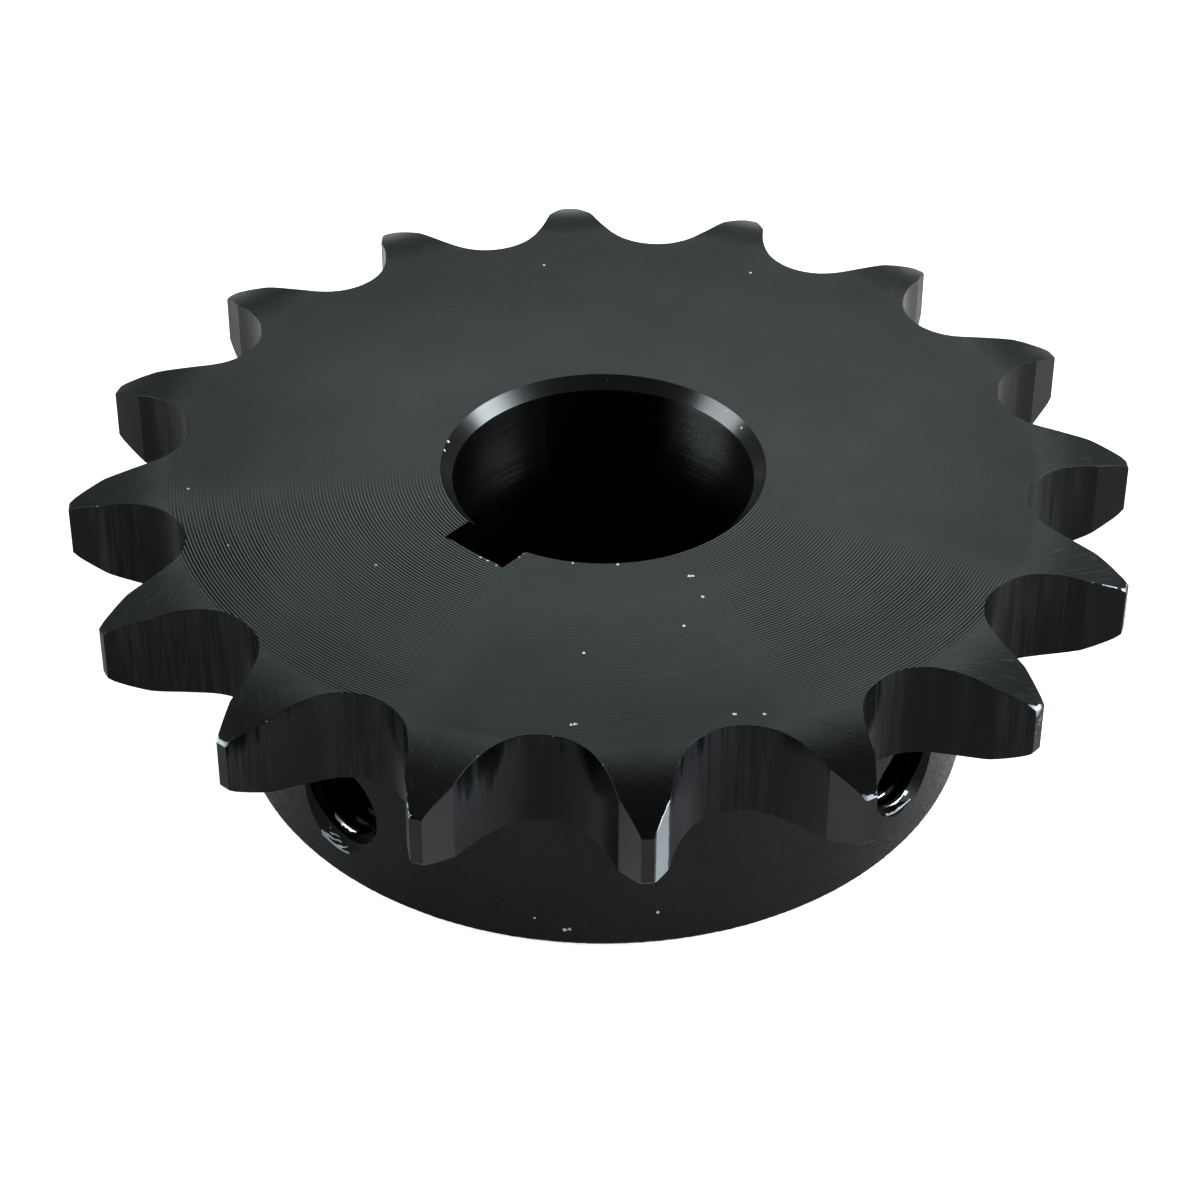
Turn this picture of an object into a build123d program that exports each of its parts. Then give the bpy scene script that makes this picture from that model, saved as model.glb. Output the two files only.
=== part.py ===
from build123d import *
import os
from math import asin, degrees, radians, sin, tan

# Finished-bore roller chain sprocket with a hub on one side, in millimetres and degrees.
# Z is the axis of the bore. The hub stands on Z = 0 and the toothed plate is on top of it.
# The keyway lies along +X, under the middle of a tooth. The tapped holes are close to +X and +Y.

# Chain and teeth
pitch = 15.875  # from roller to roller, 5/8 inch
roller_diameter = 10.16  # 0.400 inch
tooth_count = 16
plate_thickness = 8.6  # runs between the chain's inner links
rim_allowance = 0.27  # what the turned rim has over the tooth form's nominal diameter
tip_land = 1.0  # width of turned rim left at the tip of each tooth

# Hub
hub_diameter = 63.5
overall_length = 25.4  # through the bore, plate included
hub_chamfer = 0.4
hub_root_radius = 0.8  # left by the turning tool where the hub meets the plate

# Bore and keyway
bore_diameter = 25.4
bore_chamfer = 1.0
keyway_width = 6.35
keyway_depth = 3.4  # from the crown of the bore to the keyway's floor

# Tapped holes for set screws, halfway along the hub, one over the keyway and one a quarter turn on.
# Both are drilled a little off true.
tap_drill_diameter = 6.6
countersink_diameter = 8.6
countersink_angle = 90
tapped_hole_angles = (-1.8, 93)

# Standard tooth form: a seat for the roller, a working curve, then a short straight flank
seat_allowance = 0.0762  # the seat's diameter has this over its share of the roller's, 0.003 inch
seat_scale = 1.005
seat_angle = 35 + 60 / tooth_count
working_angle = 18 - 56 / tooth_count
flank_angle = 17 - 64 / tooth_count
working_offset = 0.8 * roller_diameter  # from the roller's centre to the working curve's
topping_offset = 1.4 * roller_diameter  # from the roller's centre to the neighbouring tooth's topping centre
rim_share = 0.6  # of the pitch, how far the teeth stand out in diameter

# Relief on both sides of the teeth: an arc that leaves the plate's face tangentially
relief_depth = pitch / 8
relief_width = pitch / 2

cutter_overrun = 1.0  # how far each cutter passes the faces that it cuts through

# Worked out from the sizes above
half_step = 180 / tooth_count
pitch_radius = pitch / 2 / sin(radians(half_step))
rim_radius = (pitch * (rim_share + 1 / tan(radians(half_step))) + rim_allowance) / 2
seat_radius = (seat_scale * roller_diameter + seat_allowance) / 2
working_radius = seat_radius + working_offset
flank_length = topping_offset * sin(radians(flank_angle)) - working_offset * sin(radians(working_angle))
relief_start = rim_radius - relief_width
hub_radius = hub_diameter / 2
hub_length = overall_length - plate_thickness
bore_radius = bore_diameter / 2
chamfered_bore_radius = bore_radius + bore_chamfer
keyway_floor = bore_radius + keyway_depth
tapped_hole_height = hub_length / 2  # axis above the hub's end face


def turned_blank() -> Part:
    """Plate, hub and bore as they leave the lathe, with the rim's relief on both sides."""
    with BuildPart() as blank:
        with BuildSketch(Plane.XZ):
            with BuildLine():
                hub_side = Polyline(
                    (chamfered_bore_radius, 0),
                    (hub_radius - hub_chamfer, 0),
                    (hub_radius, hub_chamfer),
                    (hub_radius, hub_length - hub_root_radius),
                )
                root = TangentArc(
                    hub_side @ 1,
                    (hub_radius + hub_root_radius, hub_length),
                    tangent=(0, 1),
                )
                underside = Line(root @ 1, (relief_start, hub_length))
                lower_relief = TangentArc(
                    underside @ 1,
                    (rim_radius, hub_length + relief_depth),
                    tangent=(1, 0),
                )
                rim = Line(lower_relief @ 1, (rim_radius, overall_length - relief_depth))
                upper_relief = TangentArc((relief_start, overall_length), rim @ 1, tangent=(1, 0))
                Polyline(
                    upper_relief @ 0,
                    (chamfered_bore_radius, overall_length),
                    (bore_radius, overall_length - bore_chamfer),
                    (bore_radius, bore_chamfer),
                    hub_side @ 0,
                )
            make_face()
        revolve(axis=Axis.Z)
    return blank.part


def polar(radius: float, angle: float) -> Vector:
    """Point at this radius and angle from the origin."""
    return Vector(radius, 0).rotate(Axis.Z, angle)


def tooth_gap() -> Sketch:
    """Space between two teeth, centred on +X, from the roller's seat to past the rim."""
    roller = polar(pitch_radius, 0)
    seat_end_angle = 90 + seat_angle
    working_centre = roller - polar(working_offset, seat_end_angle)
    seat_bottom = roller - polar(seat_radius, 0)
    seat_end = roller + polar(seat_radius, seat_end_angle)
    working_middle = working_centre + polar(working_radius, seat_end_angle - working_angle / 2)
    working_end = working_centre + polar(working_radius, seat_end_angle - working_angle)
    flank_end = working_end + polar(flank_length, seat_angle - working_angle)
    tip = polar(rim_radius, half_step - degrees(asin(tip_land / 2 / rim_radius)))
    past_tip = tip + (tip - flank_end).normalized() * cutter_overrun
    with BuildSketch() as gap:
        with BuildLine():
            ThreePointArc(mirrored_across_x(seat_end), seat_bottom, seat_end)
            ThreePointArc(seat_end, working_middle, working_end)
            Polyline(working_end, flank_end, past_tip)
            ThreePointArc(past_tip, polar(rim_radius + cutter_overrun, 0), mirrored_across_x(past_tip))
            Polyline(mirrored_across_x(past_tip), mirrored_across_x(flank_end), mirrored_across_x(working_end))
            ThreePointArc(
                mirrored_across_x(working_end),
                mirrored_across_x(working_middle),
                mirrored_across_x(seat_end),
            )
        make_face()
    return gap.sketch


def mirrored_across_x(point: Vector) -> Vector:
    """The same point on the other side of the X axis."""
    return Vector(point.X, -point.Y)


def tooth_gaps() -> list[Part]:
    """Cutters for all the spaces between the teeth, so placed that a tooth is centred on +X."""
    height = plate_thickness + 2 * cutter_overrun
    cutter = Pos(0, 0, hub_length - cutter_overrun) * extrude(tooth_gap(), height)
    return [location * cutter for location in PolarLocations(0, tooth_count, half_step)]


def keyway() -> Part:
    """Cutter for the keyway, from the bore's axis to the keyway's floor."""
    length = overall_length + 2 * cutter_overrun
    return Pos(keyway_floor / 2, 0, overall_length / 2) * Box(keyway_floor, keyway_width, length)


def tapped_hole(angle: float) -> Part:
    """Cutter for a radial tapped hole at its tap drill's size, from the bore's axis out to its countersink."""
    outwards = Plane(origin=(0, 0, tapped_hole_height), z_dir=polar(1, angle))
    slope = tan(radians(countersink_angle / 2))
    countersink_depth = (countersink_diameter - tap_drill_diameter) / 2 / slope
    drilled = Cylinder(
        tap_drill_diameter / 2,
        hub_radius + cutter_overrun,
        align=(Align.CENTER, Align.CENTER, Align.MIN),
    )
    countersink = Cone(
        tap_drill_diameter / 2,
        countersink_diameter / 2 + cutter_overrun * slope,
        countersink_depth + cutter_overrun,
        align=(Align.CENTER, Align.CENTER, Align.MIN),
    )
    return outwards * (drilled + Pos(0, 0, hub_radius - countersink_depth) * countersink)


def sprocket() -> Part:
    """The finished sprocket: turned, then toothed, broached, drilled and countersunk."""
    cutters = tooth_gaps() + [keyway()] + [tapped_hole(angle) for angle in tapped_hole_angles]
    return turned_blank() - cutters


os.makedirs("parts", exist_ok=True)
export_step(sprocket(), "parts/sprocket.step")
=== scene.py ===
import logging
import math
from collections.abc import Callable
from dataclasses import dataclass, field
from enum import Enum

import bmesh
import bpy
from mathutils import Matrix, Vector, noise


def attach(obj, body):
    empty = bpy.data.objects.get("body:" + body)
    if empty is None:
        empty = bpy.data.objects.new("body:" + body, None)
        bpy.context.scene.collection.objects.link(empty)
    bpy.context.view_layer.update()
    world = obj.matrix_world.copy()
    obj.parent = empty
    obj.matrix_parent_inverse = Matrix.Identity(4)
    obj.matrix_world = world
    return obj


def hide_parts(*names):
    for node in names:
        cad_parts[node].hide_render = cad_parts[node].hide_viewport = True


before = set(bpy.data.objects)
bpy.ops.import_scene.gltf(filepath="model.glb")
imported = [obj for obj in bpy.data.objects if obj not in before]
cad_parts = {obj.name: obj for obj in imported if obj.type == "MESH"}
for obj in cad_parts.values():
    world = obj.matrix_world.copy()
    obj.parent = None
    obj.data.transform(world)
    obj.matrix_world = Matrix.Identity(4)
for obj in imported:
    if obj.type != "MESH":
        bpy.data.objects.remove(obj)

# Finished-bore chain sprocket in black oxide steel, standing on its hub's end face.
# Sizes are in metres. Z is the bore's axis, the keyway lies along +X and the tapped holes are near +X and +Y.

MM = 0.001
LOG = logging.getLogger("sprocket")


class Surface(Enum):
    """Which cut made a surface, in the order of the piece's material slots."""

    FACE = 0
    EDGE = 1
    BORE_CHAMFER = 2
    BORE = 3
    KEYWAY = 4
    HUB_SIDE = 5
    LAND = 6
    TIP_FACET = 7
    FLANK = 8
    COUNTERSINK = 9
    THREAD = 10
    POLISHED_FACET = 11


def polar(radius: float, angle: float) -> Vector:
    """Point in the plane of the plate at a radius and an angle in radians."""
    return Vector((radius * math.cos(angle), radius * math.sin(angle)))


def arc(centre: Vector, radius: float, start: float, end: float, steps: int) -> list[Vector]:
    """Points along an arc, its start left out.

    Args:
        centre: Middle of the arc.
        radius: Radius of the arc.
        start: Angle that it starts from, in radians.
        end: Angle that it ends at, in radians.
        steps: Number of points.

    Returns:
        The points, in order.
    """
    return [centre + polar(radius, start + (end - start) * i / steps) for i in range(1, steps + 1)]


def straight(start: Vector, end: Vector, steps: int) -> list[Vector]:
    """Evenly spaced points along a line, its start left out.

    Args:
        start: Where the line starts.
        end: Where it ends.
        steps: Number of points.

    Returns:
        The points, in order.
    """
    return [start.lerp(end, i / steps) for i in range(1, steps + 1)]


def offset_ring(ring: list[Vector], distance: list[float], inwards: bool) -> list[Vector]:
    """Closed outline moved sideways by a distance that may differ from point to point.

    Args:
        ring: Points of the outline, anticlockwise.
        distance: How far each point moves.
        inwards: Whether it moves towards the outline's inside.

    Returns:
        The moved points.
    """
    moved: list[Vector] = []
    count = len(ring)
    for i, point in enumerate(ring):
        back, on = 1, 1
        while (ring[i - back] - point).length < 1e-9:
            back += 1
        while (ring[(i + on) % count] - point).length < 1e-9:
            on += 1
        before = (point - ring[i - back]).normalized()
        after = (ring[(i + on) % count] - point).normalized()
        left_before, left_after = Vector((-before.y, before.x)), Vector((-after.y, after.x))
        mitre = (left_before + left_after).normalized()
        reach = distance[i] / max(0.5, mitre.dot(left_before))
        moved.append(point + mitre * (reach if inwards else -reach))
    return moved


def blend_rings(outer: list[Vector], inner: list[Vector], share: float) -> list[Vector]:
    """Outline part of the way from one outline to another."""
    return [a.lerp(b, share) for a, b in zip(outer, inner)]


@dataclass(frozen=True)
class ToothForm:
    """Standard roller chain tooth, with a straight facet from the flank to a narrow land."""

    pitch: float = 15.875 * MM
    roller_diameter: float = 10.16 * MM
    teeth: int = 16
    tip_land: float = 1.0 * MM
    rim_allowance: float = 0.27 * MM
    seat_allowance: float = 0.0762 * MM
    land_steps: int = 2
    facet_steps: int = 6
    flank_steps: int = 2
    curve_steps: int = 7
    seat_steps: int = 11
    polished: tuple[int, ...] = (1, 2, 3)

    @property
    def half_step(self) -> float:
        """Angle from the middle of a tooth to the middle of the next gap, in radians."""
        return math.pi / self.teeth

    @property
    def rim_radius(self) -> float:
        """Radius of the turned rim that the teeth were cut from."""
        return (self.pitch * (0.6 + 1 / math.tan(self.half_step)) + self.rim_allowance) / 2

    @property
    def half_columns(self) -> int:
        """Number of steps from the middle of a tooth to the middle of a gap."""
        return self.land_steps + self.facet_steps + self.flank_steps + self.curve_steps + self.seat_steps

    @property
    def columns(self) -> int:
        """Number of points once round the sprocket."""
        return 2 * self.teeth * self.half_columns

    def half_outline(self) -> list[Vector]:
        """Outline from the middle of the tooth on +X to the bottom of the gap after it.

        Returns:
            half_columns + 1 points.
        """
        roller = Vector((self.pitch / 2 / math.sin(self.half_step), 0.0))
        seat_radius = (1.005 * self.roller_diameter + self.seat_allowance) / 2
        seat_angle = math.radians(35 + 60 / self.teeth)
        curve_angle = math.radians(18 - 56 / self.teeth)
        flank_angle = math.radians(17 - 64 / self.teeth)
        curve_offset = 0.8 * self.roller_diameter
        topping_offset = 1.4 * self.roller_diameter
        flank_length = topping_offset * math.sin(flank_angle) - curve_offset * math.sin(curve_angle)
        seat_end = math.pi / 2 + seat_angle
        curve_centre = roller - polar(curve_offset, seat_end)
        curve_radius = seat_radius + curve_offset
        seat = arc(roller, seat_radius, math.pi, seat_end, self.seat_steps)
        curve = arc(curve_centre, curve_radius, seat_end, seat_end - curve_angle, self.curve_steps)
        flank_end = curve[-1] + polar(flank_length, seat_angle - curve_angle)
        corner_angle = self.half_step - math.asin(self.tip_land / 2 / self.rim_radius)
        corner = polar(self.rim_radius, corner_angle)
        points = [roller - Vector((seat_radius, 0.0)), *seat, *curve]
        points += straight(curve[-1], flank_end, self.flank_steps)
        points += straight(flank_end, corner, self.facet_steps)
        points += arc(Vector((0.0, 0.0)), self.rim_radius, corner_angle, self.half_step, self.land_steps)
        return [polar(p.length, self.half_step - math.atan2(p.y, p.x)) for p in reversed(points)]

    def outline(self) -> list[Vector]:
        """Closed outline of all the teeth, anticlockwise from the middle of the tooth on +X.

        Returns:
            A point for each column.
        """
        step = 2 * self.half_step
        half = [(p.length, math.atan2(p.y, p.x)) for p in self.half_outline()]
        tooth = half[:-1] + [(radius, step - angle) for radius, angle in reversed(half[1:])]
        return [polar(radius, angle + step * k) for k in range(self.teeth) for radius, angle in tooth]

    def surface(self, column: int) -> Surface:
        """Surface of the teeth's wall between a column and the next one.

        Args:
            column: Number of the column.

        Returns:
            Its surface, with the facets of some teeth polished.
        """
        place = column % (2 * self.half_columns)
        from_tip = min(place, 2 * self.half_columns - 1 - place)
        if from_tip < self.land_steps:
            return Surface.LAND
        if from_tip >= self.land_steps + self.facet_steps:
            return Surface.FLANK
        tooth = round((column + 0.5) / (2 * self.half_columns)) % self.teeth
        return Surface.POLISHED_FACET if tooth in self.polished else Surface.TIP_FACET


@dataclass(frozen=True)
class Plate:
    """Toothed plate, its teeth relieved on both sides by an arc that leaves the face tangentially."""

    thickness: float = 8.6 * MM
    relief_depth: float = 15.875 / 8 * MM
    relief_width: float = 15.875 / 2 * MM
    rim_break: float = 0.16 * MM
    wire_edge: float = 0.04 * MM
    wire_grain: float = 0.35 * MM
    settle_radius: float = 33.6 * MM
    settle_shares: tuple[float, ...] = (0.14, 0.3, 0.48, 0.7, 1.0)

    def relief(self, radius: float, rim_radius: float) -> float:
        """How far the side of the plate has dropped at a radius.

        Args:
            radius: Distance from the bore's axis.
            rim_radius: Radius of the turned rim.

        Returns:
            The drop.
        """
        along = max(0.0, min(radius, rim_radius) - (rim_radius - self.relief_width))
        arc_radius = (self.relief_width**2 + self.relief_depth**2) / 2 / self.relief_depth
        return arc_radius - math.sqrt(arc_radius**2 - along**2)

    def edge_break(self, point: Vector, rim_radius: float) -> float:
        """Width of the broken edge at a point of the teeth's outline, wide only on the turned rim."""
        uneven = noise.noise(Vector((point.x, point.y, 0.0)) / self.wire_grain)
        return max(self.wire_edge * (1 + 0.6 * uneven), point.length - rim_radius + self.rim_break)


@dataclass(frozen=True)
class Hub:
    """Hub below the plate, its turned lower edge a little torn."""

    radius: float = 31.75 * MM
    length: float = 16.8 * MM
    chamfer: float = 0.4 * MM
    root_radius: float = 0.8 * MM
    root_steps: int = 6
    ring_heights: tuple[float, ...] = (2.8 * MM, 5.2 * MM, 7.7 * MM, 10.2 * MM, 12.6 * MM, 14.8 * MM)
    tear: float = 0.05 * MM
    inner_grain: float = 0.5 * MM
    outer_grain: float = 0.4 * MM


@dataclass(frozen=True)
class Bore:
    """Bore through hub and plate, chamfered at both ends, with a broached keyway."""

    radius: float = 12.7 * MM
    chamfer: float = 1.0 * MM
    keyway_width: float = 6.35 * MM
    keyway_floor: float = 16.1 * MM
    wall_columns: int = 6
    ring_shares: tuple[float, ...] = (0.62, 0.3)

    def place(self, column: int, columns: int, half_columns: int) -> tuple[Vector, Vector, bool]:
        """Where a column meets the bore or the keyway.

        Args:
            column: Number of the column, anticlockwise from +X.
            columns: Number of columns in a full turn.
            half_columns: Number of columns to half of the keyway's floor.

        Returns:
            The point at the bore's or keyway's wall, the point at the outer edge of the bore's
            chamfer, which is the same point in the keyway, and whether it lies in the keyway.
        """
        side = 1 if column <= columns // 2 else -1
        step = column if side > 0 else columns - column
        half_width = self.keyway_width / 2
        outer = self.radius + self.chamfer
        mouth = math.sqrt(outer**2 - half_width**2)
        corner = half_columns + self.wall_columns
        if step < corner:
            if step <= half_columns:
                wall = Vector((self.keyway_floor, side * half_width * step / half_columns))
            else:
                share = (step - half_columns) / (self.wall_columns - 1)
                wall = Vector((self.keyway_floor + (mouth - self.keyway_floor) * share, side * half_width))
            return wall, wall.copy(), True
        first = math.asin(half_width / self.radius)
        angle = first + (math.pi - first) * (step - corner) / (columns // 2 - corner)
        rim = Vector((mouth, side * half_width)) if step == corner else polar(outer, side * angle)
        return polar(self.radius, side * angle), rim, False


@dataclass(frozen=True)
class Band:
    """Rubbed band in a tapped hole.

    It reaches from one angle to another, in degrees from straight down, and from one depth to another, in
    millimetres along the thread's helix, and fades over the last few degrees.
    """

    start: float
    end: float
    shallow: float
    deep: float
    amount: float = 2.2
    fade: float = 6.0

    def bare(self, turned: float, depth: float) -> float:
        """How bare the band leaves a place.

        Args:
            turned: Angle of the place.
            depth: Depth of the place.

        Returns:
            The amount in the middle of the band and 0 off it.
        """
        inside = min(turned - self.start, self.end - turned) / self.fade
        return self.amount * min(1.0, max(0.0, inside)) if self.shallow <= depth <= self.deep else 0.0


@dataclass(frozen=True)
class TappedHole:
    """Radial hole for a set screw, tapped right-handed and countersunk a little off its axis."""

    angle: float
    groove_depth: float
    rubbed: tuple[Band, ...] = ()
    countersink_drop: float = 0.0
    countersink_right: float = 0.0
    countersink_slope: float = 1.0
    height: float = 8.4 * MM
    drill_radius: float = 3.6 * MM
    thread_radius: float = 4.2 * MM
    thread_pitch: float = 25.4 / 18 * MM
    root_flat: float = 0.34 * MM
    crest_break: float = 0.2 * MM
    countersink_radius: float = 4.3 * MM
    countersink_rings: int = 12
    rings_above: int = 2
    ring_step: float = 0.06 * MM
    inner_end: float = 9.0 * MM
    outer_end: float = 34.0 * MM
    steps: int = 64

    def place(self) -> Matrix:
        """Matrix that lays +Z of a cutter along the hole, pointing outwards."""
        return (
            Matrix.Translation((0.0, 0.0, self.height))
            @ Matrix.Rotation(self.angle, 4, "Z")
            @ Matrix.Rotation(math.pi / 2, 4, "Y")
        )

    def tap(self) -> bmesh.types.BMesh:
        """Cutter with the form of the tap: one turn of thread swept along its helix.

        Returns:
            A closed mesh along +Z.
        """
        slope = math.tan(math.radians(30))
        flank = (self.thread_radius - self.drill_radius) * slope
        crest_flat = self.thread_pitch - self.root_flat - 2 * flank
        turns = math.ceil((self.outer_end - self.inner_end) / self.thread_pitch) + 3
        form = [
            (self.drill_radius, 0.0),
            (self.drill_radius, crest_flat - self.crest_break * (1 - slope)),
            (self.drill_radius + self.crest_break, crest_flat + self.crest_break * slope),
            (self.thread_radius, crest_flat + flank),
            (self.thread_radius, crest_flat + flank + self.root_flat),
            (self.drill_radius, self.thread_pitch),
        ]
        bm = bmesh.new()
        top = Hub().radius - self.groove_depth
        start = top - self.thread_pitch * math.ceil((top - self.inner_end) / self.thread_pitch + 1)
        corners = [bm.verts.new((radius, 0.0, start + along)) for radius, along in form]
        edges = [bm.edges.new(pair) for pair in zip(corners, corners[1:])]
        bmesh.ops.spin(
            bm,
            geom=corners + edges,
            cent=(0.0, 0.0, 0.0),
            axis=(0.0, 0.0, 1.0),
            dvec=(0.0, 0.0, self.thread_pitch / self.steps),
            angle=2 * math.pi * turns,
            steps=self.steps * turns,
            use_merge=False,
            use_duplicate=False,
        )
        bmesh.ops.remove_doubles(bm, verts=bm.verts, dist=0.002 * MM)
        for end, keep_above in ((self.inner_end, True), (self.outer_end, False)):
            bmesh.ops.bisect_plane(
                bm,
                geom=bm.verts[:] + bm.edges[:] + bm.faces[:],
                dist=1e-7,
                plane_co=(0.0, 0.0, end),
                plane_no=(0.0, 0.0, 1.0),
                clear_outer=not keep_above,
                clear_inner=keep_above,
            )
        bmesh.ops.holes_fill(bm, edges=[e for e in bm.edges if e.is_boundary], sides=0)
        return bm

    def countersink(self) -> bmesh.types.BMesh:
        """Cutter with the form of the countersink: a cone that opens outwards.

        Returns:
            A closed mesh along +Z.
        """
        over = self.outer_end - Hub().radius
        depth = self.countersink_radius * self.countersink_slope + over
        bm = bmesh.new()
        bmesh.ops.create_cone(
            bm,
            cap_ends=True,
            segments=self.steps,
            radius1=0.0,
            radius2=depth / self.countersink_slope,
            depth=depth,
        )
        middle = self.outer_end - depth / 2
        bmesh.ops.translate(bm, verts=bm.verts, vec=(self.countersink_drop, self.countersink_right, middle))
        for ring in range(self.countersink_rings):
            bmesh.ops.bisect_plane(
                bm,
                geom=bm.verts[:] + bm.edges[:] + bm.faces[:],
                dist=1e-7,
                plane_co=(0.0, 0.0, Hub().radius - (ring - self.rings_above) * self.ring_step),
                plane_no=(0.0, 0.0, 1.0),
            )
        bmesh.ops.remove_doubles(bm, verts=bm.verts, dist=1e-6)
        return bm

    def bare(self, point: Vector) -> float:
        """How far the oxide is rubbed off at a point of the hole.

        Args:
            point: Place on the piece.

        Returns:
            0 where it is whole, more than 2 in the middle of a rubbed patch.
        """
        local = self.place().inverted() @ point
        turned = math.degrees(math.atan2(local.y, local.x))
        below = (Hub().radius - local.z + turned / 360 * self.thread_pitch) / MM
        return max(band.bare(turned, below) for band in self.rubbed)


@dataclass(frozen=True)
class Rub:
    """A place on one of the surfaces where the oxide is rubbed off, down to bright steel above about 1.3."""

    surface: Surface
    angle: float
    reach: float
    low: float
    high: float
    amount: float

    def bare(self, vertex: bmesh.types.BMVert) -> float:
        """How bare the place leaves a vertex.

        Args:
            vertex: One of the piece's.

        Returns:
            The amount on the place and 0 off it.
        """
        turned = math.degrees(math.atan2(vertex.co.y, vertex.co.x)) - self.angle
        near = abs((turned + 180) % 360 - 180) <= self.reach and self.low <= vertex.co.z / MM <= self.high
        touches = any(f.material_index == self.surface.value for f in vertex.link_faces)
        return self.amount if near and touches else 0.0


# Each place's middle and reach in degrees, lowest and highest point in millimetres, and how bare it is
RUBS = (
    Rub(Surface.POLISHED_FACET, 46.65, 1.0, 17, 25, 2.2),
    Rub(Surface.EDGE, 67.6, 0.8, 22, 25, 1.75),
    Rub(Surface.EDGE, 111.8, 1.6, 22, 25, 1.4),
    Rub(Surface.LAND, 89.8, 0.7, 18.5, 24, 1.25),
    Rub(Surface.EDGE, 89.7, 0.8, 22, 25, 1.7),
    Rub(Surface.EDGE, 0.0, 0.8, 22, 25, 2.0),
    Rub(Surface.EDGE, 21.5, 0.6, 22, 25, 1.5),
    Rub(Surface.LAND, 21.5, 0.35, 17, 25, 1.15),
    Rub(Surface.EDGE, 42, 17, -1, 0.5, 1.9),
)


@dataclass
class Ring:
    """One closed ring of points round the bore's axis, and the surface between it and the next ring."""

    points: list[Vector]
    heights: list[float]
    surface: Callable[[int], Surface]
    wear: float = 0.0


def all_round(surface: Surface) -> Callable[[int], Surface]:
    """The same surface at every column of a ring."""
    return lambda column: surface


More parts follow.
